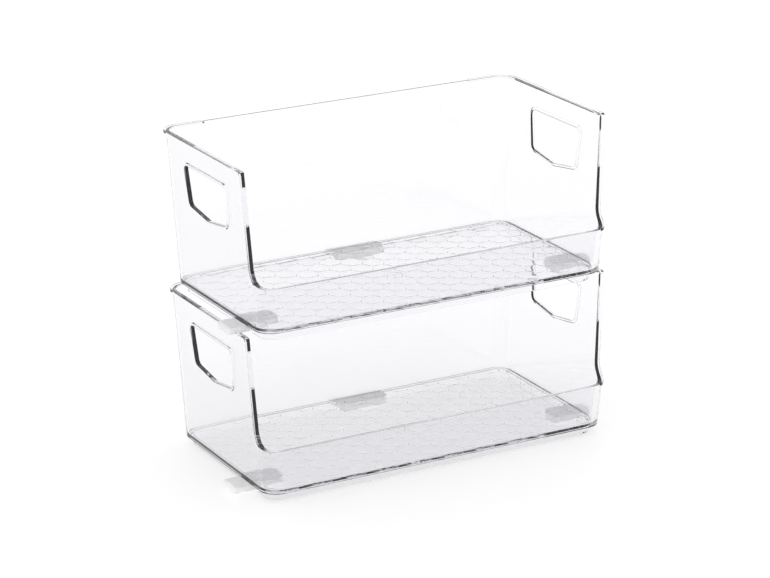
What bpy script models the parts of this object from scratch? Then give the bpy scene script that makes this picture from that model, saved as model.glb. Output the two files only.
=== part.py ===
"""Two clear open-front storage bins, stacked, each with three clip-in stacking clips.

Metres, +Z up, +X along the length of the bins, -Y towards their open fronts.
Heights named *_Z are measured from the surface that the bin stands on.
"""

import math

import bmesh
import bpy
from mathutils import Matrix

# Bin shell: wall faces at the base and at the rim
BASE_LENGTH = 0.2899
RIM_LENGTH = 0.3016
BASE_FRONT_Y = -0.0762
RIM_FRONT_Y = -0.0880
BASE_BACK_Y = 0.0774
RIM_BACK_Y = 0.0798
BASE_Z = 0.0068
RIM_Z = 0.1273
BASE_WALL = 0.0036
RIM_WALL = 0.0021
FLOOR = 0.0028
CORNER_RADIUS = 0.0140
CORNER_STEPS = 8

# Low front lip and the side walls' front edges
LIP_Z = 0.0420
SIDE_FRONT_RIM_Y = -0.0616
SIDE_FRONT_LOW_Y = -0.0643
LIP_FILLET = 0.0140

# Outward flange along the rim and the side walls' front edges; it stops short of the lip,
# and the back of the rim has none between two stops
FLANGE = 0.0044
FLANGE_DEPTH = 0.0019
RIM_FLANGE = 0.0043
FLANGE_FRONT_Y = -0.0760
FLANGE_GAP_HALF = 0.1125

# Handle hole in each side wall, with a raised collar on the outer face
HANDLE_Y = 0.0027
HANDLE_TOP_Z = 0.1084
HANDLE_SHOULDER_Z = 0.0776
HANDLE_BOTTOM_Z = 0.0731
HANDLE_TOP_HALF = 0.0358
HANDLE_SHOULDER_HALF = 0.0318
HANDLE_RADIUS = 0.0045
COLLAR_WIDTH = 0.0022
COLLAR = 0.0036

# Foot ring under the floor
FOOT_INSET = 0.0050
FOOT_WALL = 0.0022

# Stacking clips: a block that slides into a notch in the foot ring and hooks over a rim
STACK_PITCH = 0.1250
SIDE_CLIP_Y = -0.0370
SIDE_CLIP_WIDTH = 0.0210
SIDE_CLIP_INNER = 0.1175
SIDE_CLIP_INNER_RADIUS = 0.0075
BACK_CLIP_X = 0.0080
BACK_CLIP_WIDTH = 0.0430
BACK_CLIP_INNER = 0.0620
BACK_CLIP_INNER_RADIUS = 0.0060
CLIP_BOTTOM_Z = 0.0006
CLIP_HOOK = 0.0042
CLIP_HOOK_RADIUS = 0.0050
CLIP_TOP_RADIUS = 0.0022
CLIP_RAIL = 0.0015
CLIP_RAIL_Z = 0.0032
SIDE_HOOK_CLEARANCE = 0.0007
BACK_HOOK_CLEARANCE = 0.0007
GROOVE_CLEARANCE = 0.0013

GAP = 0.0003
OVERRUN = 0.0060

# Sizes that follow from the ones above
RIM_INNER_HALF = RIM_LENGTH / 2 - RIM_WALL
RIM_FLANGE_HALF = RIM_INNER_HALF + FLANGE
LIP_SHARE = (LIP_Z - BASE_Z) / (RIM_Z - BASE_Z)
LIP_Y = BASE_FRONT_Y + LIP_SHARE * (RIM_FRONT_Y - BASE_FRONT_Y)
BACK_HOOK_FACE = RIM_BACK_Y + BACK_HOOK_CLEARANCE
BACK_CLIP_OUTER = BACK_HOOK_FACE + CLIP_HOOK
BIN_Y = -(LIP_Y + BACK_CLIP_OUTER) / 2

CLEAR_COLOUR = (0.93, 0.94, 0.965, 1.0)
FROSTED_COLOUR = (0.80, 0.81, 0.83, 1.0)


def half_length(z):
    """Half of the shell's outer length at height z."""
    t = (z - BASE_Z) / (RIM_Z - BASE_Z)
    return (BASE_LENGTH + t * (RIM_LENGTH - BASE_LENGTH)) / 2


def front_y(z):
    """Outer face of the front wall at height z, carried on above the lip."""
    t = (z - BASE_Z) / (RIM_Z - BASE_Z)
    return BASE_FRONT_Y + t * (RIM_FRONT_Y - BASE_FRONT_Y)


def back_y(z):
    """Outer face of the back wall at height z."""
    t = (z - BASE_Z) / (RIM_Z - BASE_Z)
    return BASE_BACK_Y + t * (RIM_BACK_Y - BASE_BACK_Y)


def wall(z):
    """Wall thickness at height z: the cavity has more draft than the outside."""
    t = (z - BASE_Z) / (RIM_Z - BASE_Z)
    return BASE_WALL + t * (RIM_WALL - BASE_WALL)


def new_collection(name):
    collection = bpy.data.collections.new(name)
    bpy.context.scene.collection.children.link(collection)
    return collection


def add_object(name, mesh, collection):
    obj = bpy.data.objects.new(name, mesh)
    collection.objects.link(obj)
    return obj


def add_cutter(name, mesh):
    cutter = add_object(name, mesh, cutters)
    cutter.hide_render = True
    cutter.display_type = "WIRE"
    return cutter


def mesh_from_bmesh(name, bm):
    bmesh.ops.recalc_face_normals(bm, faces=bm.faces)
    mesh = bpy.data.meshes.new(name)
    bm.to_mesh(mesh)
    bm.free()
    return mesh


def box_mesh(name, low, high):
    """A plain box between two corners."""
    bm = bmesh.new()
    bmesh.ops.create_cube(bm, size=1.0)
    for vert in bm.verts:
        vert.co = [high[i] if vert.co[i] > 0 else low[i] for i in range(3)]
    return mesh_from_bmesh(name, bm)


def drafted_box_mesh(name, offset, low_z, high_z, radius, from_cavity=False):
    """A box with the shell's drafted sides, moved out by offset, with round upright corners.

    The sides are the shell's outer faces, or the cavity's if from_cavity is set.
    """
    bm = bmesh.new()
    bmesh.ops.create_cube(bm, size=1.0)
    for vert in bm.verts:
        right, back, top = (vert.co[i] > 0 for i in range(3))
        z = high_z if top else low_z
        moved = offset - wall(z) if from_cavity else offset
        x = half_length(z) + moved
        y = back_y(z) + moved if back else front_y(z) - moved
        vert.co = (x if right else -x, y, z)
    upright = [e for e in bm.edges if abs(e.verts[0].co.z - e.verts[1].co.z) > 0.5 * (high_z - low_z)]
    bmesh.ops.bevel(bm, geom=upright, offset=radius, segments=CORNER_STEPS, profile=0.5, affect="EDGES")
    return mesh_from_bmesh(name, bm)


def rounded_outline(corners, radii, steps=5):
    """The points of a polygon whose corners are replaced by arcs; radius 0 keeps a corner."""
    points = []
    count = len(corners)
    for i, (x, y) in enumerate(corners):
        radius = radii[i]
        if radius == 0:
            points.append((x, y))
            continue
        before = math.atan2(corners[i - 1][1] - y, corners[i - 1][0] - x)
        after = math.atan2(corners[(i + 1) % count][1] - y, corners[(i + 1) % count][0] - x)
        turn = (after - before + math.pi) % (2 * math.pi) - math.pi
        middle = before + turn / 2
        reach = radius / math.sin(abs(turn) / 2)
        centre = (x + reach * math.cos(middle), y + reach * math.sin(middle))
        sweep = math.copysign(math.pi - abs(turn), turn)
        start = before - math.copysign(math.pi / 2, turn)
        for step in range(steps + 1):
            angle = start - sweep * step / steps
            points.append((centre[0] + radius * math.cos(angle), centre[1] + radius * math.sin(angle)))
    return points


def offset_polygon(corners, distance):
    """A counter-clockwise polygon's corners, with every side moved out by distance."""
    moved = []
    count = len(corners)
    for i, (x, y) in enumerate(corners):
        x0, y0 = corners[i - 1]
        x1, y1 = corners[(i + 1) % count]
        a = math.atan2(y - y0, x - x0) - math.pi / 2
        b = math.atan2(y1 - y, x1 - x) - math.pi / 2
        half = ((b - a + math.pi) % (2 * math.pi) - math.pi) / 2
        reach = distance / math.cos(half)
        moved.append((x + reach * math.cos(a + half), y + reach * math.sin(a + half)))
    return moved


# Each plane's matrix turns an outline drawn in XY, with its thickness along Z, into place
PLANES = {
    "YZ": Matrix(((0, 0, 1, 0), (1, 0, 0, 0), (0, 1, 0, 0), (0, 0, 0, 1))),
    "XZ": Matrix(((1, 0, 0, 0), (0, 0, -1, 0), (0, 1, 0, 0), (0, 0, 0, 1))),
    "XY": Matrix.Identity(4),
}


def prism_mesh(name, outline, plane, low, high):
    """A flat outline given thickness from low to high across its plane."""
    curve = bpy.data.curves.new(name, "CURVE")
    curve.dimensions = "2D"
    curve.fill_mode = "BOTH"
    curve.extrude = (high - low) / 2
    spline = curve.splines.new("POLY")
    spline.points.add(len(outline) - 1)
    for point, (x, y) in zip(spline.points, outline):
        point.co = (x, y, 0, 1)
    spline.use_cyclic_u = True
    guide = add_object(name, curve, cutters)
    depsgraph = bpy.context.evaluated_depsgraph_get()
    mesh = bpy.data.meshes.new_from_object(guide.evaluated_get(depsgraph))
    bpy.data.objects.remove(guide)
    bpy.data.curves.remove(curve)
    middle = (low + high) / 2 * (-1 if plane == "XZ" else 1)
    mesh.transform(PLANES[plane] @ Matrix.Translation((0, 0, middle)))
    bm = bmesh.new()
    bm.from_mesh(mesh)
    bmesh.ops.remove_doubles(bm, verts=bm.verts, dist=0.00001)
    bpy.data.meshes.remove(mesh)
    return mesh_from_bmesh(name, bm)


def boolean(obj, operation, other):
    modifier = obj.modifiers.new(operation.lower() + "_" + other.name, "BOOLEAN")
    modifier.operation = operation
    modifier.object = other
    modifier.solver = "EXACT"


def finished_mesh(obj, name):
    """The evaluated mesh of an object, with its booleans applied."""
    depsgraph = bpy.context.evaluated_depsgraph_get()
    mesh = bpy.data.meshes.new_from_object(obj.evaluated_get(depsgraph))
    mesh.name = name
    bm = bmesh.new()
    bm.from_mesh(mesh)
    bmesh.ops.remove_doubles(bm, verts=bm.verts, dist=0.00001)
    bmesh.ops.dissolve_degenerate(bm, edges=bm.edges, dist=0.00001)
    bmesh.ops.dissolve_limit(bm, angle_limit=math.radians(0.2), verts=bm.verts, edges=bm.edges)
    bmesh.ops.triangulate(bm, faces=bm.faces)
    bm.to_mesh(mesh)
    bm.free()
    mesh.shade_smooth()
    mesh.set_sharp_from_angle(angle=math.radians(30))
    return mesh


def plastic(name, colour, roughness, transmission):
    material = bpy.data.materials.new(name)
    material.use_nodes = True
    shader = material.node_tree.nodes["Principled BSDF"]
    shader.inputs["Base Color"].default_value = colour
    shader.inputs["Roughness"].default_value = roughness
    shader.inputs["Metallic"].default_value = 0.0
    shader.inputs["Transmission Weight"].default_value = transmission
    return material


def front_opening(inset):
    """Side view of the open front, in Y and Z, grown into the walls by inset."""
    drift = (SIDE_FRONT_RIM_Y - SIDE_FRONT_LOW_Y) / (RIM_Z - LIP_Z)
    top_z = RIM_Z + 2 * OVERRUN
    low_z = LIP_Z - inset
    front = BASE_FRONT_Y - 4 * OVERRUN
    low_y = SIDE_FRONT_LOW_Y + inset - drift * inset
    top_y = low_y + drift * (top_z - low_z)
    corners = [(front, low_z), (low_y, low_z), (top_y, top_z), (front, top_z)]
    return rounded_outline(corners, [0, LIP_FILLET + inset, 0, 0], 10)


def handle_outline(margin):
    """Handle hole in Y and Z, counter-clockwise, grown by margin."""
    corners = [
        (HANDLE_Y, HANDLE_BOTTOM_Z),
        (HANDLE_Y + HANDLE_SHOULDER_HALF, HANDLE_SHOULDER_Z),
        (HANDLE_Y + HANDLE_TOP_HALF, HANDLE_TOP_Z),
        (HANDLE_Y - HANDLE_TOP_HALF, HANDLE_TOP_Z),
        (HANDLE_Y - HANDLE_SHOULDER_HALF, HANDLE_SHOULDER_Z),
    ]
    radius = HANDLE_RADIUS + margin
    return rounded_outline(offset_polygon(corners, margin), [2 * radius] + [radius] * 4)


def notch_outline(width):
    """Cross-section of a foot-ring notch: wide above, with a rail under each side of the clip."""
    half = width / 2 + GAP
    low_half = half - CLIP_RAIL
    rail_z = CLIP_RAIL_Z - GAP
    return [
        (-low_half, -OVERRUN),
        (low_half, -OVERRUN),
        (low_half, rail_z),
        (half, rail_z),
        (half, BASE_Z + FLOOR),
        (-half, BASE_Z + FLOOR),
        (-half, rail_z),
        (-low_half, rail_z),
    ]


def edge_flanges():
    """Bands outside the walls, along the rim and down the side walls' front edges."""
    length = RIM_LENGTH
    front_band = add_cutter("front_flange", drafted_box_mesh(
        "front_flange", FLANGE, 0.02, RIM_Z + 0.004, CORNER_RADIUS + FLANGE - RIM_WALL, True))
    boolean(front_band, "INTERSECT", add_cutter("front_flange_limit", prism_mesh(
        "front_flange_limit", front_opening(FLANGE_DEPTH), "YZ", -length, length)))
    boolean(front_band, "DIFFERENCE", add_cutter("front_flange_end", box_mesh(
        "front_flange_end", (-length, -length, -length), (length, FLANGE_FRONT_Y, length))))
    rim_band = add_cutter("rim_flange", drafted_box_mesh(
        "rim_flange", RIM_FLANGE, RIM_Z - FLANGE_DEPTH, RIM_Z + 0.002,
        CORNER_RADIUS + RIM_FLANGE - RIM_WALL, True))
    boolean(rim_band, "DIFFERENCE", add_cutter("rim_flange_gap", box_mesh(
        "rim_flange_gap", (-FLANGE_GAP_HALF, 0, 0), (FLANGE_GAP_HALF, 2 * RIM_BACK_Y, 2 * RIM_Z))))
    return [front_band, rim_band]


def handle_collars():
    """Raised ring round each handle hole, standing proud of the wall's outer face."""
    length = RIM_LENGTH
    collars = add_cutter("handle_collars", drafted_box_mesh(
        "handle_collars", COLLAR, 0.05, RIM_Z + 0.003, CORNER_RADIUS + COLLAR - RIM_WALL, True))
    boolean(collars, "INTERSECT", add_cutter("collar_limit", prism_mesh(
        "collar_limit", handle_outline(COLLAR_WIDTH), "YZ", -length, length)))
    inside = RIM_WALL / 2
    boolean(collars, "DIFFERENCE", add_cutter("collar_inside", drafted_box_mesh(
        "collar_inside", inside, 0.04, RIM_Z + OVERRUN, CORNER_RADIUS - inside, True)))
    return collars


def foot_ring():
    """Low wall under the floor, with a notch for each clip; its top is sunk into the floor."""
    radius = CORNER_RADIUS - FOOT_INSET
    ring = add_cutter("foot_ring", drafted_box_mesh(
        "foot_ring", -FOOT_INSET, 0, BASE_Z + FLOOR / 2, radius))
    boolean(ring, "DIFFERENCE", add_cutter("foot_hollow", drafted_box_mesh(
        "foot_hollow", -FOOT_INSET - FOOT_WALL, -OVERRUN, BASE_Z + FLOOR, radius - FOOT_WALL)))
    for notch in clip_notches():
        boolean(ring, "DIFFERENCE", notch)
    return ring


def clip_notches():
    """Cutters for the three notches in the foot ring."""
    side = prism_mesh("side_notch", notch_outline(SIDE_CLIP_WIDTH), "YZ", 0.120, BASE_LENGTH / 2)
    back = prism_mesh("back_notch", notch_outline(BACK_CLIP_WIDTH), "YZ", 0.064, BASE_BACK_Y)
    notches = []
    places = [(side, 0, (0, SIDE_CLIP_Y)), (side, 180, (0, SIDE_CLIP_Y)), (back, 90, (BACK_CLIP_X, 0))]
    for i, (mesh, turn, (x, y)) in enumerate(places):
        notch = add_cutter("notch_%d" % i, mesh)
        notch.location = (x, y, 0)
        notch.rotation_euler = (0, 0, math.radians(turn))
        notches.append(notch)
    return notches


def bin_mesh():
    """One bin: drafted shell, flanges, collars, open front, handle holes and foot ring."""
    shell = add_cutter("shell", drafted_box_mesh("shell", 0, BASE_Z, RIM_Z + OVERRUN, CORNER_RADIUS))
    for band in edge_flanges():
        boolean(shell, "UNION", band)
    boolean(shell, "UNION", foot_ring())
    boolean(shell, "DIFFERENCE", add_cutter("cavity", drafted_box_mesh(
        "cavity", 0, BASE_Z + FLOOR, RIM_Z + 2 * OVERRUN, CORNER_RADIUS - RIM_WALL, True)))
    boolean(shell, "UNION", handle_collars())
    boolean(shell, "DIFFERENCE", add_cutter("open_front", prism_mesh(
        "open_front", front_opening(0), "YZ", -RIM_LENGTH, RIM_LENGTH)))
    boolean(shell, "DIFFERENCE", add_cutter("handle_holes", prism_mesh(
        "handle_holes", handle_outline(0), "YZ", -RIM_LENGTH, RIM_LENGTH)))
    boolean(shell, "DIFFERENCE", add_cutter("rim_trim", box_mesh(
        "rim_trim", (-RIM_LENGTH, -RIM_LENGTH, RIM_Z), (RIM_LENGTH, RIM_LENGTH, 2 * RIM_Z))))
    return finished_mesh(shell, "bin")


def clip_mesh(name, width, inner, inner_radius, ring_face, groove, hook_face):
    """A stacking clip along +X: block, groove for the rim of the bin below, and outer hook.

    inner, ring_face, groove and hook_face are distances from the bin's centre: the block's inner
    end, the foot ring's outer face, where the groove starts, and the hook's inner face.
    """
    top_z = BASE_Z - GAP
    outer = hook_face + CLIP_HOOK
    rim_top = RIM_Z - STACK_PITCH
    roof_z = rim_top + GAP
    side_view = rounded_outline([
        (inner, CLIP_BOTTOM_Z),
        (groove, CLIP_BOTTOM_Z),
        (groove, roof_z),
        (hook_face, roof_z),
        (hook_face, CLIP_BOTTOM_Z),
        (outer, CLIP_BOTTOM_Z),
        (outer, top_z),
        (inner, top_z),
    ], [0, 0, 0, 0, 0, 0.0012, CLIP_TOP_RADIUS, 0], 4)
    half = width / 2
    clip = add_cutter(name, prism_mesh(name, side_view, "XZ", -half, half))
    plan = rounded_outline([
        (inner, -half - GAP),
        (outer + GAP, -half - GAP),
        (outer + GAP, half + GAP),
        (inner, half + GAP),
    ], [inner_radius, 0, 0, inner_radius], 6)
    boolean(clip, "INTERSECT", add_cutter(name + "_plan", prism_mesh(
        name + "_plan", plan, "XY", -OVERRUN, 2 * OVERRUN)))
    end_view = rounded_outline([
        (-half - GAP, CLIP_BOTTOM_Z),
        (half + GAP, CLIP_BOTTOM_Z),
        (half + GAP, 2 * OVERRUN),
        (-half - GAP, 2 * OVERRUN),
    ], [CLIP_HOOK_RADIUS, CLIP_HOOK_RADIUS, 0, 0], 6)
    boolean(clip, "INTERSECT", add_cutter(name + "_end", prism_mesh(
        name + "_end", end_view, "YZ", 0, 2 * outer)))
    for side in (-1, 1):
        edge = sorted((side * (half - CLIP_RAIL), side * (half + OVERRUN)))
        boolean(clip, "DIFFERENCE", add_cutter("%s_rail_%d" % (name, side + 1), box_mesh(
            "rail", (inner - OVERRUN, edge[0], -OVERRUN), (ring_face + GAP, edge[1], CLIP_RAIL_Z))))
    return finished_mesh(clip, name)


def place(name, mesh, material, location, turn=0.0):
    obj = add_object(name, mesh.copy(), assembly)
    obj.data.materials.clear()
    obj.data.materials.append(material)
    obj.location = location
    obj.rotation_euler = (0, 0, math.radians(turn))
    return obj


def build_stack():
    shell = bin_mesh()
    side_clip = clip_mesh(
        "side_clip", SIDE_CLIP_WIDTH, SIDE_CLIP_INNER, SIDE_CLIP_INNER_RADIUS,
        half_length(BASE_Z) - FOOT_INSET, RIM_INNER_HALF - GROOVE_CLEARANCE,
        RIM_FLANGE_HALF + SIDE_HOOK_CLEARANCE)
    back_clip = clip_mesh(
        "back_clip", BACK_CLIP_WIDTH, BACK_CLIP_INNER, BACK_CLIP_INNER_RADIUS,
        back_y(BASE_Z) - FOOT_INSET, RIM_BACK_Y - RIM_WALL - GROOVE_CLEARANCE, BACK_HOOK_FACE)
    for level, base_z in (("lower", 0.0), ("upper", STACK_PITCH)):
        clear = plastic(level + "_bin_clear_plastic", CLEAR_COLOUR, 0.04, 0.9)
        place(level + "_bin", shell, clear, (0, BIN_Y, base_z))
        for side, mesh, turn, x, y in (
                ("right", side_clip, 0, 0, SIDE_CLIP_Y),
                ("left", side_clip, 180, 0, SIDE_CLIP_Y),
                ("back", back_clip, 90, BACK_CLIP_X, 0)):
            name = "%s_clip_%s" % (level, side)
            frosted = plastic(name + "_frosted_plastic", FROSTED_COLOUR, 0.45, 0.5)
            place(name, mesh, frosted, (x, y + BIN_Y, base_z), turn)


for item in list(bpy.data.objects):
    bpy.data.objects.remove(item)
assembly = new_collection("fridge_bin_stack")
cutters = new_collection("cutters")
build_stack()
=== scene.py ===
import math

import bmesh
import bpy
import numpy as np
from mathutils import Matrix, Vector
from mathutils.geometry import delaunay_2d_cdt


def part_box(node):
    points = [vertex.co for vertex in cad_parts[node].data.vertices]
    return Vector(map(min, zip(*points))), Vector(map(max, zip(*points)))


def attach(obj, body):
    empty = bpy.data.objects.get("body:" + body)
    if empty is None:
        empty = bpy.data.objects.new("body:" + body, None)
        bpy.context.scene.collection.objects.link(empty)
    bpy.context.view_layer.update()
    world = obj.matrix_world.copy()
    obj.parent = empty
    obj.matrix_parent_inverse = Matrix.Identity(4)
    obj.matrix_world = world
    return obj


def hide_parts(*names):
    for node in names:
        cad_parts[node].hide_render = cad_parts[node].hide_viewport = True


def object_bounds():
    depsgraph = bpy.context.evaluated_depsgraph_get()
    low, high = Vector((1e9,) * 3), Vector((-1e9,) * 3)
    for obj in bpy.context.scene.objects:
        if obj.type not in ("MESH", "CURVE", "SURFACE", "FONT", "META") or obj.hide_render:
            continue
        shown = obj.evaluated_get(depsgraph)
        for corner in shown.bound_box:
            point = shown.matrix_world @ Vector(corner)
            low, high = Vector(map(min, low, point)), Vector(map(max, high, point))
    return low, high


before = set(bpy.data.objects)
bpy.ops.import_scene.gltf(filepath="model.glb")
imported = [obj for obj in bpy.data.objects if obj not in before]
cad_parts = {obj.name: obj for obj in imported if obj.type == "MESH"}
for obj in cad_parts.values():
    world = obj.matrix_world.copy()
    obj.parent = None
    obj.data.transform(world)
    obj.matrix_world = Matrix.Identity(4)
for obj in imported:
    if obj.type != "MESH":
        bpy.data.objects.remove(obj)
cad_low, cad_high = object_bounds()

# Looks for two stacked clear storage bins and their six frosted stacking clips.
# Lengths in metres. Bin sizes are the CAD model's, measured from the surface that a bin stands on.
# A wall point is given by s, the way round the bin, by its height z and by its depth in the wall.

BASE_LENGTH = 0.2899
RIM_LENGTH = 0.3016
BASE_FRONT_Y = -0.0762
RIM_FRONT_Y = -0.0880
BASE_BACK_Y = 0.0774
RIM_BACK_Y = 0.0798
BASE_Z = 0.0068
RIM_Z = 0.1273
BASE_WALL = 0.0036
RIM_WALL = 0.0021
FLOOR = 0.0028
CORNER_RADIUS = 0.0140
LIP_Z = 0.0420
SIDE_FRONT_RIM_Y = -0.0616
SIDE_FRONT_LOW_Y = -0.0643
LIP_FILLET = 0.0140
RIM_CORNER = 0.0016
HANDLE_Y = 0.0027
HANDLE_TOP_Z = 0.1084
HANDLE_SHOULDER_Z = 0.0776
HANDLE_BOTTOM_Z = 0.0731
HANDLE_TOP_HALF = 0.0358
HANDLE_SHOULDER_HALF = 0.0318
HANDLE_RADIUS = 0.0045
FOOT_INSET = 0.0050
FOOT_WALL = 0.0022
COLLAR_WIDTH = 0.0022
COLLAR = 0.0036
FLANGE = 0.0043
FLANGE_DEPTH = 0.0019
FLANGE_FRONT_Y = -0.0760
FLANGE_GAP_HALF = 0.1125
SIDE_CLIP_Y = -0.0370
SIDE_CLIP_WIDTH = 0.0210
BACK_CLIP_X = 0.0080
BACK_CLIP_WIDTH = 0.0430
CLIP_RAIL = 0.0015
CLIP_RAIL_Z = 0.0032
GAP = 0.0003

# Finish of the moulding: rounded edges, step at the side of the flange and collars, floor relief
EDGE_RADIUS = 0.00045
BASE_RADIUS = 0.0006
FLOOR_FILLET = 0.0010
STEP = 0.0003
STOP_HALF = 0.0005
ARC = 4
CELL_X = 0.0141
CELL_Y = 0.0173
CELL_Y0 = -0.0063
PAD_RISE = 0.00016
PAD_LOW = 0.00015
PAD_TOP = 0.00055
SMALLEST_CELL = 30e-6
SMALLEST_PAD = 12e-6
LONGEST_CHAMFER = 0.004
FOOT_ROUNDING = 0.0003
MARK_RADII = (0.0062, 0.0057, 0.0016, 0.0012)
MARK_DEPTH = 0.0005
SIDE_NOTCH_INNER = 0.1200
BACK_NOTCH_INNER = 0.0640
NOTCH_INSET = 0.0010
CLIP_BEVEL = 0.00028
SHARP = math.radians(38)
WELD = 0.000004

# Spacing of the wall's mesh: rings beside a step, how far its even grid keeps from free edges,
# and the longest stretch of an edge line
RING_SHIFTS = (-0.0009, -STEP / 2, STEP / 2, 0.0014, 0.0028, 0.0044, 0.0060)
GRID_CLEARANCE = 0.0092
EDGE_STRETCH = 0.0030

# Light paths that run along inside the clear walls
WALL_BOUNCES = 40

# Camera: focal length for a 36 mm sensor, turn, height and roll in degrees
CAMERA_LENS = 140.16
CAMERA_AT = (-1.0169, -1.9147, 0.8483)
CAMERA_TURN = -27.8617
CAMERA_RISE = 18.5421
CAMERA_ROLL = -1.0312


def half_length(z):
    return (BASE_LENGTH + (z - BASE_Z) / (RIM_Z - BASE_Z) * (RIM_LENGTH - BASE_LENGTH)) / 2


def front_y(z):
    return BASE_FRONT_Y + (z - BASE_Z) / (RIM_Z - BASE_Z) * (RIM_FRONT_Y - BASE_FRONT_Y)


def back_y(z):
    return BASE_BACK_Y + (z - BASE_Z) / (RIM_Z - BASE_Z) * (RIM_BACK_Y - BASE_BACK_Y)


def wall(z):
    return BASE_WALL + (z - BASE_Z) / (RIM_Z - BASE_Z) * (RIM_WALL - BASE_WALL)


FLOOR_WALL = wall(BASE_Z + FLOOR + FLOOR_FILLET)


def centre_lines(z):
    """Centres of the corner radii at height z: X, front Y, back Y."""
    return half_length(z) - CORNER_RADIUS, front_y(z) + CORNER_RADIUS, back_y(z) - CORNER_RADIUS


# The wall unrolled: s runs round the right half, from the middle of the back to the middle of the front
MID = centre_lines((BASE_Z + RIM_Z) / 2)
TURN = CORNER_RADIUS * math.pi / 2
S1 = MID[0]
S2 = S1 + TURN
S3 = S2 + MID[2] - MID[1]
S4 = S3 + TURN
S5 = S4 + MID[0]


def shell_points(s, z, depth):
    """Points at s and height z, depth inside the wall's outer face.

    The front corners get tighter with depth down to the cavity's radius at the rim, and no tighter.
    """
    s, z, depth = np.broadcast_arrays(*(np.asarray(value, float) for value in (s, z, depth)))
    cx, cf, cb = centre_lines(z)
    deep = np.maximum(depth - RIM_WALL, 0)
    at_front = np.where(s > (S2 + S3) / 2, deep, 0)
    cx, cf = cx - at_front, cf + deep
    x = cx * (np.clip(s / S1, 0, 1) - np.clip((s - S4) / S1, 0, 1))
    y = cb + np.clip((s - S2) / (S3 - S2), 0, 1) * (cf - cb)
    turn = (np.clip((s - S1) / TURN, 0, 1) + np.clip((s - S3) / TURN, 0, 1)) * math.pi / 2
    r = CORNER_RADIUS - depth + at_front
    return np.stack([x + r * np.sin(turn), y + r * np.cos(turn), z], -1)


def side_s(y, z):
    """Where a point of the side wall or front corner lies along s."""
    cx, cf, cb = centre_lines(z)
    if y >= cf:
        return S2 + (cb - y) / (cb - cf) * (S3 - S2)
    return S3 + math.asin(min(1.0, (cf - y) / CORNER_RADIUS)) / (math.pi / 2) * TURN


def rounded_outline(corners, radii, steps=6):
    """The points of a polygon whose corners are replaced by arcs; radius 0 keeps a corner."""
    points = []
    count = len(corners)
    for i, (x, y) in enumerate(corners):
        radius = radii[i]
        if radius == 0:
            points.append((x, y))
            continue
        before = math.atan2(corners[i - 1][1] - y, corners[i - 1][0] - x)
        after = math.atan2(corners[(i + 1) % count][1] - y, corners[(i + 1) % count][0] - x)
        turn = (after - before + math.pi) % (2 * math.pi) - math.pi
        middle = before + turn / 2
        reach = radius / math.sin(abs(turn) / 2)
        centre = (x + reach * math.cos(middle), y + reach * math.sin(middle))
        sweep = math.copysign(math.pi - abs(turn), turn)
        start = before - math.copysign(math.pi / 2, turn)
        for step in range(steps + 1):
            angle = start - sweep * step / steps
            points.append((centre[0] + radius * math.cos(angle), centre[1] + radius * math.sin(angle)))
    return points


def offset_polygon(corners, distance):
    """A counter-clockwise polygon with every side moved out by distance."""
    moved = []
    count = len(corners)
    for i, (x, y) in enumerate(corners):
        x0, y0 = corners[i - 1]
        x1, y1 = corners[(i + 1) % count]
        a = math.atan2(y - y0, x - x0) - math.pi / 2
        b = math.atan2(y1 - y, x1 - x) - math.pi / 2
        half = ((b - a + math.pi) % (2 * math.pi) - math.pi) / 2
        reach = distance / math.cos(half)
        moved.append((x + reach * math.cos(a + half), y + reach * math.sin(a + half)))
    return moved


def spaced(points, step, closed=False):
    """The same polyline with no stretch longer than step."""
    made = []
    ends = points[1:] + points[:1] if closed else points[1:]
    for a, b in zip(points, ends):
        count = max(1, math.ceil(math.dist(a, b) / step))
        across, up = b[0] - a[0], b[1] - a[1]
        made += [(a[0] + across * k / count, a[1] + up * k / count) for k in range(count)]
    return np.array(made if closed else made + [points[-1]])


def inward(points, closed):
    """Unit vectors into the material, which lies to the right of the way the points run."""
    if closed:
        along = np.roll(points, -1, 0) - np.roll(points, 1, 0)
    else:
        along = np.gradient(points, axis=0)
        along[0] = (1, 0)
        along[-1] = (1, 0)
    along /= np.linalg.norm(along, axis=1)[:, None]
    return np.stack([along[:, 1], -along[:, 0]], -1)


def distance_to(points, line, closed):
    """Distance from each point to a polyline."""
    a = line
    b = np.roll(line, -1, 0)
    if not closed:
        a, b = a[:-1], b[:-1]
    best = np.full(len(points), 1e9)
    for p, q in zip(a, b):
        d = q - p
        t = np.clip((points - p) @ d / max(d @ d, 1e-18), 0, 1)
        best = np.minimum(best, np.linalg.norm(points - p - t[:, None] * d, axis=1))
    return best


def inside(points, polygon):
    """Which points lie in a polygon."""
    x, y = points[:, 0], points[:, 1]
    found = np.zeros(len(points), bool)
    px, py = polygon[:, 0], polygon[:, 1]
    qx, qy = np.roll(px, -1), np.roll(py, -1)
    for x0, y0, x1, y1 in zip(px, py, qx, qy):
        if y0 == y1:
            continue
        crosses = (y0 > y) != (y1 > y)
        found ^= crosses & (x < (x1 - x0) * (y - y0) / (y1 - y0) + x0)
    return found


def filled(outer, holes, extra, loops=()):
    """Triangles that fill outer without its holes, through extra points and along the edges of loops."""
    points, edges = [], []
    for ring in [outer, *holes, *loops]:
        first = len(points)
        count = len(ring)
        points += [tuple(p) for p in ring]
        edges += [(first + i, first + (i + 1) % count) for i in range(count)]
    points += [tuple(p) for p in extra]
    scale = 1000.0
    made = delaunay_2d_cdt([Vector((p[0] * scale, p[1] * scale)) for p in points], edges, [], 0, 1e-5)
    flat = np.array([(v.x / scale, v.y / scale) for v in made[0]])
    faces = np.array([f for f in made[2] if len(f) == 3])
    middle = flat[faces].mean(1)
    keep = inside(middle, outer)
    for hole in holes:
        keep &= ~inside(middle, hole)
    return flat, faces[keep]


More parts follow.
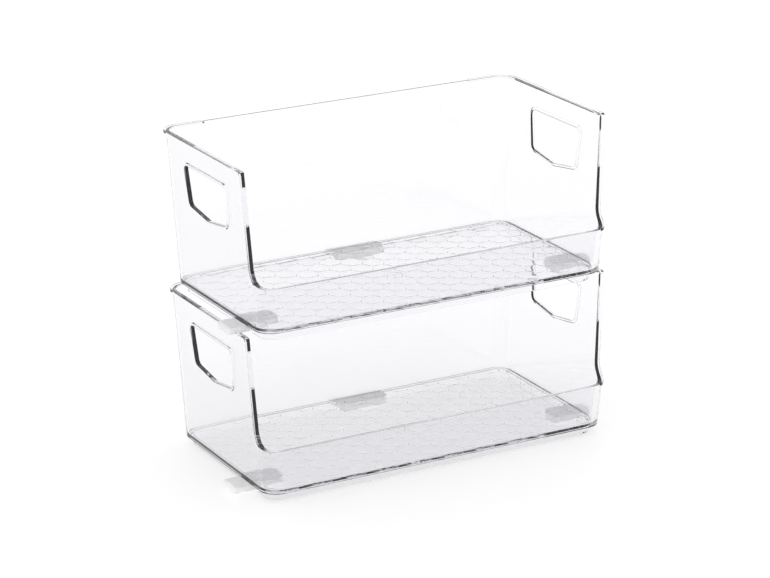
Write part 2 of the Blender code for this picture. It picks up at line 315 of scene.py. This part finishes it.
def quarter(radius):
    """Distances from the two faces that meet at an edge, along its rounding."""
    angles = [math.pi / 2 * k / ARC for k in range(ARC + 1)]
    return [(radius * (1 - math.sin(a)), radius * (1 - math.cos(a))) for a in angles]


class Sheet:
    """Gathers points and faces of one closed skin."""

    def __init__(self):
        self.points = []
        self.faces = []

    def add(self, points, faces, flip=False):
        first = len(self.points)
        self.points += [tuple(p) for p in points]
        self.faces += [tuple(first + i for i in (f[::-1] if flip else f)) for f in faces]

    def strip(self, rings, closed, flip=False):
        """Quads between rings with equal numbers of points."""
        count = len(rings[0])
        first = len(self.points)
        for ring in rings:
            self.points += [tuple(p) for p in ring]
        last = count if closed else count - 1
        for k in range(len(rings) - 1):
            for i in range(last):
                j = (i + 1) % count
                a = first + k * count
                quad = (a + i, a + j, a + count + j, a + count + i)
                self.faces.append(quad[::-1] if flip else quad)

    def mirror(self):
        first = len(self.points)
        self.points += [(-x, y, z) for x, y, z in self.points]
        self.faces += [tuple(first + i for i in f[::-1]) for f in list(self.faces)]


def stations():
    """Values of s at which the wall has upright lines."""
    stop, start = FLANGE_GAP_HALF - STOP_HALF, FLANGE_GAP_HALF + STOP_HALF
    spans = [(0, stop, 22), (stop, start, 1), (start, S1, 4), (S1, S2, 12),
             (S2, S3, 24), (S3, S4, 12), (S4, S5, 26)]
    values = [0.0]
    for low, high, count in spans:
        values += [low + (high - low) * (k + 1) / count for k in range(count)]
    return np.array(values)


def free_edge():
    """Rim, front cut edge and lip as one line in s and z."""
    view = rounded_outline([
        (0.03, RIM_Z), (SIDE_FRONT_RIM_Y, RIM_Z), (SIDE_FRONT_LOW_Y, LIP_Z), (-0.0900, LIP_Z)],
        [0, RIM_CORNER, LIP_FILLET, 0], 12)[1:-1]
    curve = spaced(view, 0.0016)
    line = [(side_s(y, z), z) for y, z in curve if y > front_y(LIP_Z) + 0.00004]
    rim = [(s, RIM_Z) for s in stations() if s < line[0][0] - 0.0012]
    lip = [(s, LIP_Z) for s in stations() if s > line[-1][0] + 0.0012]
    return spaced(rim + line + lip, EDGE_STRETCH)


def handle_edge():
    """Handle hole in s and z, with the material to the right of the way it runs."""
    corners = [
        (HANDLE_Y, HANDLE_BOTTOM_Z),
        (HANDLE_Y + HANDLE_SHOULDER_HALF, HANDLE_SHOULDER_Z),
        (HANDLE_Y + HANDLE_TOP_HALF, HANDLE_TOP_Z),
        (HANDLE_Y - HANDLE_TOP_HALF, HANDLE_TOP_Z),
        (HANDLE_Y - HANDLE_SHOULDER_HALF, HANDLE_SHOULDER_Z),
    ]
    radius = HANDLE_RADIUS
    outline = spaced(rounded_outline(corners, [2 * radius] + [radius] * 4, 8), 0.0024, True)
    line = np.array([(side_s(y, z), z) for y, z in outline])
    area = np.sum(line[:, 0] * np.roll(line[:, 1], -1) - np.roll(line[:, 0], -1) * line[:, 1])
    return line if area > 0 else line[::-1]


def smooth(t):
    t = np.clip(t, 0, 1)
    return t * t * (3 - 2 * t)


def proud(points, edge, hole):
    """How far the outer face stands proud: a flange along the free edge, a collar round the hole."""
    s, z = points[:, 0], points[:, 1]
    y = shell_points(s, z, 0)[:, 1]
    within = 1 - smooth((distance_to(points, edge, False) - FLANGE_DEPTH + STEP / 2) / STEP)
    within *= smooth((y - FLANGE_FRONT_Y) / 0.0008 + 1)
    within *= smooth((s - FLANGE_GAP_HALF + STOP_HALF) / (2 * STOP_HALF))
    round_hole = 1 - smooth((distance_to(points, hole, True) - COLLAR_WIDTH + STEP / 2) / STEP)
    return np.maximum(within * (FLANGE - wall(z)), round_hole * (COLLAR - wall(z)))


def rings_near(edge, hole, into_edge, into_hole):
    """Points in rows beside the free edge and the hole, where the outer face steps out."""
    found = []
    lines = ((edge, into_edge, False, FLANGE_DEPTH), (hole, into_hole, True, COLLAR_WIDTH))
    for shift in RING_SHIFTS:
        for line, into, closed, width in lines:
            offset = width + shift
            ring = line + into * offset
            if not closed:
                ring = ring[1:-1]
            good = distance_to(ring, edge, False) > 0.97 * offset
            good &= distance_to(ring, hole, True) > 0.97 * offset
            good &= (ring[:, 0] > 0.0004) & (ring[:, 0] < S5 - 0.0004)
            found.append(ring[good])
    return np.concatenate(found)


def wall_sheets(skin):
    """Outer and inner faces of the right half's walls, and the rounded edges between them."""
    edge = free_edge()
    hole = handle_edge()
    into_edge = inward(edge, False)
    into_hole = inward(hole, True)
    columns = stations()
    top = edge + into_edge * EDGE_RADIUS
    gap = hole + into_hole * EDGE_RADIUS
    rings = rings_near(edge, hole, into_edge, into_hole)
    for outside in (True, False):
        low_z = BASE_Z + BASE_RADIUS if outside else BASE_Z + FLOOR + FLOOR_FILLET
        low = np.stack([columns, np.full(len(columns), low_z)], -1)
        side_a = [(0.0, z) for z in np.linspace(RIM_Z - 0.012, low_z + 0.010, 8)]
        side_b = [(S5, z) for z in np.linspace(low_z + 0.008, LIP_Z - 0.009, 3)]
        outer = np.concatenate([top, np.array(side_b[::-1]), low[::-1], np.array(side_a[::-1])])
        levels = np.linspace(low_z + 0.003, RIM_Z - 0.009, 20)
        grid = np.array([(s, z) for s in columns[1:-1] for z in levels])
        grid = grid[inside(grid, outer) & ~inside(grid, gap)]
        away = np.minimum(distance_to(grid, edge, False), distance_to(grid, hole, True))
        extra = np.concatenate([grid[away > GRID_CLEARANCE], rings[rings[:, 1] > low_z + 0.001]])
        flat, faces = filled(outer, [gap], extra)
        depth = -proud(flat, edge, hole) if outside else wall(flat[:, 1])
        skin.add(shell_points(flat[:, 0], flat[:, 1], depth), faces.tolist(), flip=not outside)
    for line, into, closed in ((edge, into_edge, False), (hole, into_hole, True)):
        start = line + into * EDGE_RADIUS
        rise, thick = proud(start, edge, hole), wall(start[:, 1])
        rounding = quarter(EDGE_RADIUS)
        depths = [(reach, -rise + down) for reach, down in rounding]
        depths += [(reach, thick - down) for reach, down in rounding[::-1]]
        loops = []
        for reach, depth in depths:
            spot = line + into * reach
            loops.append(shell_points(spot[:, 0], spot[:, 1], depth))
        skin.strip(loops, closed)


def full_loop(z, depth):
    """The whole closed loop round the bin at height z."""
    right = shell_points(stations(), z, depth)
    left = right[1:-1][::-1] * np.array([-1, 1, 1])
    return np.concatenate([right, left])


def clipped(polygon, region):
    """A convex polygon cut back to a convex counter-clockwise region."""
    points = [tuple(p) for p in polygon]
    count = len(region)
    for i in range(count):
        ax, ay = region[i]
        bx, by = region[(i + 1) % count]

        def side(p):
            return (bx - ax) * (p[1] - ay) - (by - ay) * (p[0] - ax)

        made = []
        for k, p in enumerate(points):
            q = points[(k + 1) % len(points)]
            dp, dq = side(p), side(q)
            if dp >= 0:
                made.append(p)
            if dp * dq < 0:
                t = dp / (dp - dq)
                made.append((p[0] + (q[0] - p[0]) * t, p[1] + (q[1] - p[1]) * t))
        points = made
        if len(points) < 3:
            return []
    cleaned = []
    for k, p in enumerate(points):
        if math.dist(p, points[k - 1]) > 0.0004:
            cleaned.append(p)
    return cleaned


def area_of(polygon):
    return sum(polygon[i - 1][0] * p[1] - p[0] * polygon[i - 1][1] for i, p in enumerate(polygon)) / 2


def cells(region):
    """Honeycomb cells as pairs of loops: foot of the pad and its top."""
    found = []
    for i in range(-10, 11):
        for j in range(-6, 7):
            x = i * CELL_X
            y = CELL_Y0 + (j + 0.5 * (i % 2)) * CELL_Y
            third, half = CELL_X / 3, CELL_Y / 2
            cell = [(x + 2 * third, y), (x + third, y + half), (x - third, y + half),
                    (x - 2 * third, y), (x - third, y - half), (x + third, y - half)]
            cell = clipped(cell, region)
            if len(cell) < 3 or area_of(cell) < SMALLEST_CELL:
                continue
            low, top = offset_polygon(cell, -PAD_LOW), offset_polygon(cell, -PAD_TOP)
            chamfer = max(math.dist(a, b) for a, b in zip(cell, top))
            if area_of(top) < SMALLEST_PAD or chamfer > LONGEST_CHAMFER:
                continue
            found.append((low, top))
    return found


def floor_top(skin):
    """Inside face of the floor, with its honeycomb of low pads."""
    z = BASE_Z + FLOOR
    rim = full_loop(z, FLOOR_WALL + FLOOR_FILLET)
    # The loop runs clockwise seen from above, so it is turned for the fill
    outer = rim[::-1, :2]
    region = [tuple(p[:2]) for p in full_loop(z, FLOOR_WALL + FLOOR_FILLET + 0.0012)[::-1]]
    pairs = cells(region)
    loops = [ring for pair in pairs for ring in pair]
    flat, faces = filled(outer, [], [], loops)
    height = np.full(len(flat), z)
    for low, top in pairs:
        middle = np.mean(top, 0)
        near = np.linalg.norm(flat - middle, axis=1) < 0.0105
        index = np.nonzero(near)[0]
        grown = np.array(offset_polygon(top, 0.00012))
        height[index[inside(flat[index], grown)]] = z + PAD_RISE
    skin.add(np.column_stack([flat, height]), faces.tolist())


def floor_bottom(skin):
    """Underside of the floor inside the foot ring, with a shallow round moulding mark."""
    inner = full_loop(BASE_Z, FOOT_INSET + FOOT_WALL)
    outer = inner[::-1, :2]
    rings = []
    turn = np.linspace(0, 2 * math.pi, 49)[:-1]
    for radius in MARK_RADII:
        rings.append(np.stack([radius * np.cos(turn), CELL_Y0 + radius * np.sin(turn)], -1))
    flat, faces = filled(outer, [], [], rings)
    away = np.linalg.norm(flat - np.array([0, CELL_Y0]), axis=1)
    between = (MARK_RADII[0] + MARK_RADII[1]) / 2, (MARK_RADII[2] + MARK_RADII[3]) / 2
    sunk = (away < between[0]) & (away > between[1])
    height = np.where(sunk, BASE_Z + MARK_DEPTH, BASE_Z)
    skin.add(np.column_stack([flat, height]), faces.tolist(), flip=True)


def foot(skin):
    """Base edge, foot ring and inside fillet, as rings from the outside in."""
    small = FOOT_ROUNDING
    tiny = small * 0.3
    outer, inner = FOOT_INSET, FOOT_INSET + FOOT_WALL
    under = [(BASE_Z + up, depth) for up, depth in quarter(BASE_RADIUS)]
    under += [(BASE_Z, outer - small), (BASE_Z - tiny, outer - tiny), (BASE_Z - small, outer)]
    under += [(small, outer), (tiny, outer + tiny), (0.0, outer + small)]
    under += [(0.0, inner - small), (tiny, inner - tiny), (small, inner), (BASE_Z, inner)]
    skin.strip([full_loop(z, depth) for z, depth in under], True)
    top = BASE_Z + FLOOR
    fillet = [(top + up, FLOOR_WALL + depth) for up, depth in quarter(FLOOR_FILLET)]
    skin.strip([full_loop(z, depth) for z, depth in fillet], True, flip=True)


def prism(name, outline, matrix, low, high):
    """A closed prism from an outline in XY, between two heights, then turned into place."""
    bm = bmesh.new()
    rings = [[bm.verts.new((x, y, z)) for x, y in outline] for z in (low, high)]
    bm.faces.new(rings[0][::-1])
    bm.faces.new(rings[1])
    count = len(outline)
    for i in range(count):
        j = (i + 1) % count
        bm.faces.new((rings[0][i], rings[0][j], rings[1][j], rings[1][i]))
    bmesh.ops.recalc_face_normals(bm, faces=bm.faces)
    bm.transform(matrix)
    mesh = bpy.data.meshes.new(name)
    bm.to_mesh(mesh)
    bm.free()
    return mesh


# Turns a prism drawn in XY so that it runs along X with its outline in YZ
ACROSS = Matrix(((0, 0, 1, 0), (1, 0, 0, 0), (0, 1, 0, 0), (0, 0, 0, 1)))


def notch_cutters():
    """Cutters for the three notches in the foot ring, where the clips slide in."""
    made = []
    side_outer, back_outer = BASE_LENGTH / 2 - NOTCH_INSET, BASE_BACK_Y - NOTCH_INSET
    for width, low, high, turn, place in (
            (SIDE_CLIP_WIDTH, SIDE_NOTCH_INNER, side_outer, 0, (0, SIDE_CLIP_Y, 0)),
            (SIDE_CLIP_WIDTH, SIDE_NOTCH_INNER, side_outer, 180, (0, SIDE_CLIP_Y, 0)),
            (BACK_CLIP_WIDTH, BACK_NOTCH_INNER, back_outer, 90, (BACK_CLIP_X, 0, 0))):
        half = width / 2 + GAP
        rail, rail_z, top, under = half - CLIP_RAIL, CLIP_RAIL_Z - GAP, BASE_Z, -0.004
        outline = [(-rail, under), (rail, under), (rail, rail_z), (half, rail_z), (half, top),
                   (-half, top), (-half, rail_z), (-rail, rail_z)]
        where = Matrix.Translation(place) @ Matrix.Rotation(math.radians(turn), 4, "Z") @ ACROSS
        made.append(bpy.data.objects.new("notch", prism("notch", outline, where, low, high)))
        bpy.context.scene.collection.objects.link(made[-1])
    return made


def bin_mesh():
    """The mesh of one bin, in its own coordinates."""
    skin = Sheet()
    wall_sheets(skin)
    skin.mirror()
    foot(skin)
    floor_top(skin)
    floor_bottom(skin)
    mesh = bpy.data.meshes.new("bin")
    mesh.from_pydata(skin.points, [], skin.faces)
    bm = bmesh.new()
    bm.from_mesh(mesh)
    bmesh.ops.remove_doubles(bm, verts=bm.verts, dist=WELD)
    bmesh.ops.recalc_face_normals(bm, faces=bm.faces)
    bm.to_mesh(mesh)
    bm.free()
    body = bpy.data.objects.new("bin_body", mesh)
    bpy.context.scene.collection.objects.link(body)
    cutters = notch_cutters()
    for cutter in cutters:
        cut = body.modifiers.new("notch", "BOOLEAN")
        cut.operation = "DIFFERENCE"
        cut.solver = "EXACT"
        cut.object = cutter
    graph = bpy.context.evaluated_depsgraph_get()
    made = bpy.data.meshes.new_from_object(body.evaluated_get(graph))
    for item in [body, *cutters]:
        bpy.data.objects.remove(item)
    made.shade_smooth()
    made.set_sharp_from_angle(angle=SHARP)
    return made


def new_material(name):
    """A material with its shader, and texture coordinates that stay with the piece."""
    material = bpy.data.materials.new(name)
    material.use_nodes = True
    shader = material.node_tree.nodes["Principled BSDF"]
    place = material.node_tree.nodes.new("ShaderNodeTexCoord")
    return material, shader, place.outputs["Object"]


def noise(material, place, seed, scale, detail):
    """Output of a noise texture."""
    node = material.node_tree.nodes.new("ShaderNodeTexNoise")
    node.noise_dimensions = "4D"
    node.inputs["W"].default_value = seed
    node.inputs["Scale"].default_value = scale
    node.inputs["Detail"].default_value = detail
    material.node_tree.links.new(place, node.inputs["Vector"])
    return node.outputs["Fac"]


def vary_roughness(material, value, from_range, to_range):
    """Roughness follows value, which is remapped from one range to another."""
    node = material.node_tree.nodes.new("ShaderNodeMapRange")
    node.inputs["From Min"].default_value, node.inputs["From Max"].default_value = from_range
    node.inputs["To Min"].default_value, node.inputs["To Max"].default_value = to_range
    shader = material.node_tree.nodes["Principled BSDF"]
    material.node_tree.links.new(value, node.inputs["Value"])
    material.node_tree.links.new(node.outputs["Result"], shader.inputs["Roughness"])


def add_bump(material, value, strength, distance):
    """Fine unevenness of the surface that follows value."""
    node = material.node_tree.nodes.new("ShaderNodeBump")
    node.inputs["Strength"].default_value = strength
    node.inputs["Distance"].default_value = distance
    shader = material.node_tree.nodes["Principled BSDF"]
    material.node_tree.links.new(value, node.inputs["Height"])
    material.node_tree.links.new(node.outputs["Normal"], shader.inputs["Normal"])


def clear_plastic(name, seed):
    """Clear polished plastic with a faint haze and slightly wavy faces."""
    material, shader, place = new_material(name)
    shader.inputs["Base Color"].default_value = (0.950, 0.948, 0.963, 1)
    shader.inputs["Transmission Weight"].default_value = 1.0
    shader.inputs["IOR"].default_value = 1.49
    haze = noise(material, place, seed, 38.0, 4.0)
    vary_roughness(material, haze, (0.35, 0.75), (0.005, 0.05))
    add_bump(material, noise(material, place, seed + 5, 14.0, 1.0), 0.12, 0.0006)
    tint = material.node_tree.nodes.new("ShaderNodeVolumeAbsorption")
    tint.inputs["Color"].default_value = (0.50, 0.505, 0.56, 1)
    tint.inputs["Density"].default_value = 6.0
    output = material.node_tree.nodes["Material Output"]
    material.node_tree.links.new(tint.outputs["Volume"], output.inputs["Volume"])
    return material


def frosted_plastic(name, seed):
    """Milky plastic with fine grain and cloudy tone, lit through by scattered light from its subsurface
    scattering, plus a faint painted glow from emission that lightens it further.
    """
    material, shader, place = new_material(name)
    shader.inputs["Transmission Weight"].default_value = 0.35
    shader.inputs["IOR"].default_value = 1.49
    # Painted glow: a faint white emission lightens the clips as if more light came through them
    shader.inputs["Emission Color"].default_value = (1, 1, 1, 1)
    shader.inputs["Emission Strength"].default_value = 0.08
    shader.inputs["Subsurface Weight"].default_value = 0.5
    shader.inputs["Subsurface Radius"].default_value = (1, 1, 1)
    shader.inputs["Subsurface Scale"].default_value = 0.004
    tone = material.node_tree.nodes.new("ShaderNodeMix")
    tone.data_type = "RGBA"
    tone.inputs["A"].default_value = (0.86, 0.86, 0.87, 1)
    tone.inputs["B"].default_value = (0.95, 0.95, 0.955, 1)
    cloud = noise(material, place, seed + 3, 90.0, 3.0)
    material.node_tree.links.new(cloud, tone.inputs["Factor"])
    material.node_tree.links.new(tone.outputs["Result"], shader.inputs["Base Color"])
    grain = noise(material, place, seed, 900.0, 3.0)
    vary_roughness(material, grain, (0.0, 1.0), (0.34, 0.60))
    add_bump(material, grain, 0.25, 0.0002)
    return material


def place_bins():
    """Both bins, each riding on its CAD node."""
    shell = bin_mesh()
    for seed, name in enumerate(("lower_bin", "upper_bin")):
        low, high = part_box(name)
        lip_y = front_y(LIP_Z)
        mesh = shell.copy()
        mesh.transform(Matrix.Translation(((low.x + high.x) / 2, low.y - lip_y, low.z)))
        piece = bpy.data.objects.new(name + "_clear_moulding", mesh)
        bpy.context.scene.collection.objects.link(piece)
        mesh.materials.clear()
        mesh.materials.append(clear_plastic(name + "_clear_plastic", 2.7 * seed))
        even = piece.modifiers.new("even_normals", "WEIGHTED_NORMAL")
        even.keep_sharp = True
        even.weight = 60
        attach(piece, name)
        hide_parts(name)


def place_clips():
    """The CAD clips with soft edges, each riding on its CAD node."""
    levels, sides = ("lower", "upper"), ("left", "right", "back")
    names = ["%s_clip_%s" % (level, side) for level in levels for side in sides]
    for seed, name in enumerate(names):
        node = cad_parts[name]
        mesh = node.data.copy()
        bm = bmesh.new()
        bm.from_mesh(mesh)
        bmesh.ops.remove_doubles(bm, verts=bm.verts, dist=0.00001)
        flat = math.radians(1.0)
        bmesh.ops.dissolve_limit(bm, angle_limit=flat, verts=bm.verts, edges=bm.edges)
        bm.to_mesh(mesh)
        bm.free()
        piece = bpy.data.objects.new(name + "_frosted_moulding", mesh)
        bpy.context.scene.collection.objects.link(piece)
        mesh.materials.clear()
        mesh.materials.append(frosted_plastic(name + "_frosted_plastic", 1.9 * seed))
        mesh.shade_smooth()
        bevel = piece.modifiers.new("soft_edges", "BEVEL")
        bevel.width = CLIP_BEVEL
        bevel.segments = 2
        bevel.limit_method = "ANGLE"
        bevel.angle_limit = math.radians(40)
        bevel.use_clamp_overlap = True
        even = piece.modifiers.new("even_normals", "WEIGHTED_NORMAL")
        even.keep_sharp = True
        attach(piece, name)
        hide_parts(name)


def make_floor():
    """White table top, lit from below a little so that it stays bright under the bins."""
    bm = bmesh.new()
    bmesh.ops.create_grid(bm, x_segments=1, y_segments=1, size=12.0)
    mesh = bpy.data.meshes.new("floor")
    bm.to_mesh(mesh)
    bm.free()
    floor = bpy.data.objects.new("floor", mesh)
    floor.location = (0, 0, cad_low.z - 0.0001)
    bpy.context.scene.collection.objects.link(floor)
    material = bpy.data.materials.new("pale_floor")
    material.use_nodes = True
    shader = material.node_tree.nodes["Principled BSDF"]
    shader.inputs["Base Color"].default_value = (0.40, 0.40, 0.40, 1)
    shader.inputs["Emission Color"].default_value = (1, 1, 1, 1)
    shader.inputs["Emission Strength"].default_value = 0.645
    shader.inputs["Roughness"].default_value = 0.6
    shader.inputs["Specular IOR Level"].default_value = 0.15
    mesh.materials.append(material)


def make_world():
    """Even white light from all round."""
    world = bpy.data.worlds.new("studio")
    bpy.context.scene.world = world
    world.use_nodes = True
    background = world.node_tree.nodes["Background"]
    background.inputs["Color"].default_value = (1, 1, 1, 1)
    background.inputs["Strength"].default_value = 1.0


def bin_y():
    """How far a bin's own zero line lies from the frame's along Y."""
    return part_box("lower_bin")[0].y - front_y(LIP_Z)


def make_camera():
    """Camera at the bins' own coordinates, moved with them into the frame."""
    turn, rise, roll = (math.radians(a) for a in (CAMERA_TURN, CAMERA_RISE, CAMERA_ROLL))
    back = Vector((math.sin(turn) * math.cos(rise), -math.cos(turn) * math.cos(rise), math.sin(rise)))
    right = (-back).cross(Vector((0, 0, 1))).normalized()
    up = right.cross(-back)
    x = math.cos(roll) * right + math.sin(roll) * up
    y = -math.sin(roll) * right + math.cos(roll) * up
    data = bpy.data.cameras.new("camera")
    data.sensor_width = 36.0
    data.lens = CAMERA_LENS
    data.clip_start, data.clip_end = 0.01, 100.0
    camera = bpy.data.objects.new("camera", data)
    bpy.context.scene.collection.objects.link(camera)
    rotation = Matrix((x, y, back)).transposed().to_4x4()
    camera.matrix_world = Matrix.Translation(Vector(CAMERA_AT) + Vector((0, bin_y(), 0))) @ rotation
    bpy.context.scene.camera = camera


def make_studio():
    """View transform, light paths long enough for light guided along the walls, floor and light."""
    scene = bpy.context.scene
    scene.view_settings.view_transform = "Standard"
    scene.cycles.max_bounces = WALL_BOUNCES
    scene.cycles.transmission_bounces = WALL_BOUNCES
    scene.cycles.transparent_max_bounces = WALL_BOUNCES
    scene.cycles.glossy_bounces = 12
    scene.cycles.caustics_reflective = True
    scene.cycles.caustics_refractive = True
    make_floor()
    make_world()


place_bins()
place_clips()
make_studio()
make_camera()
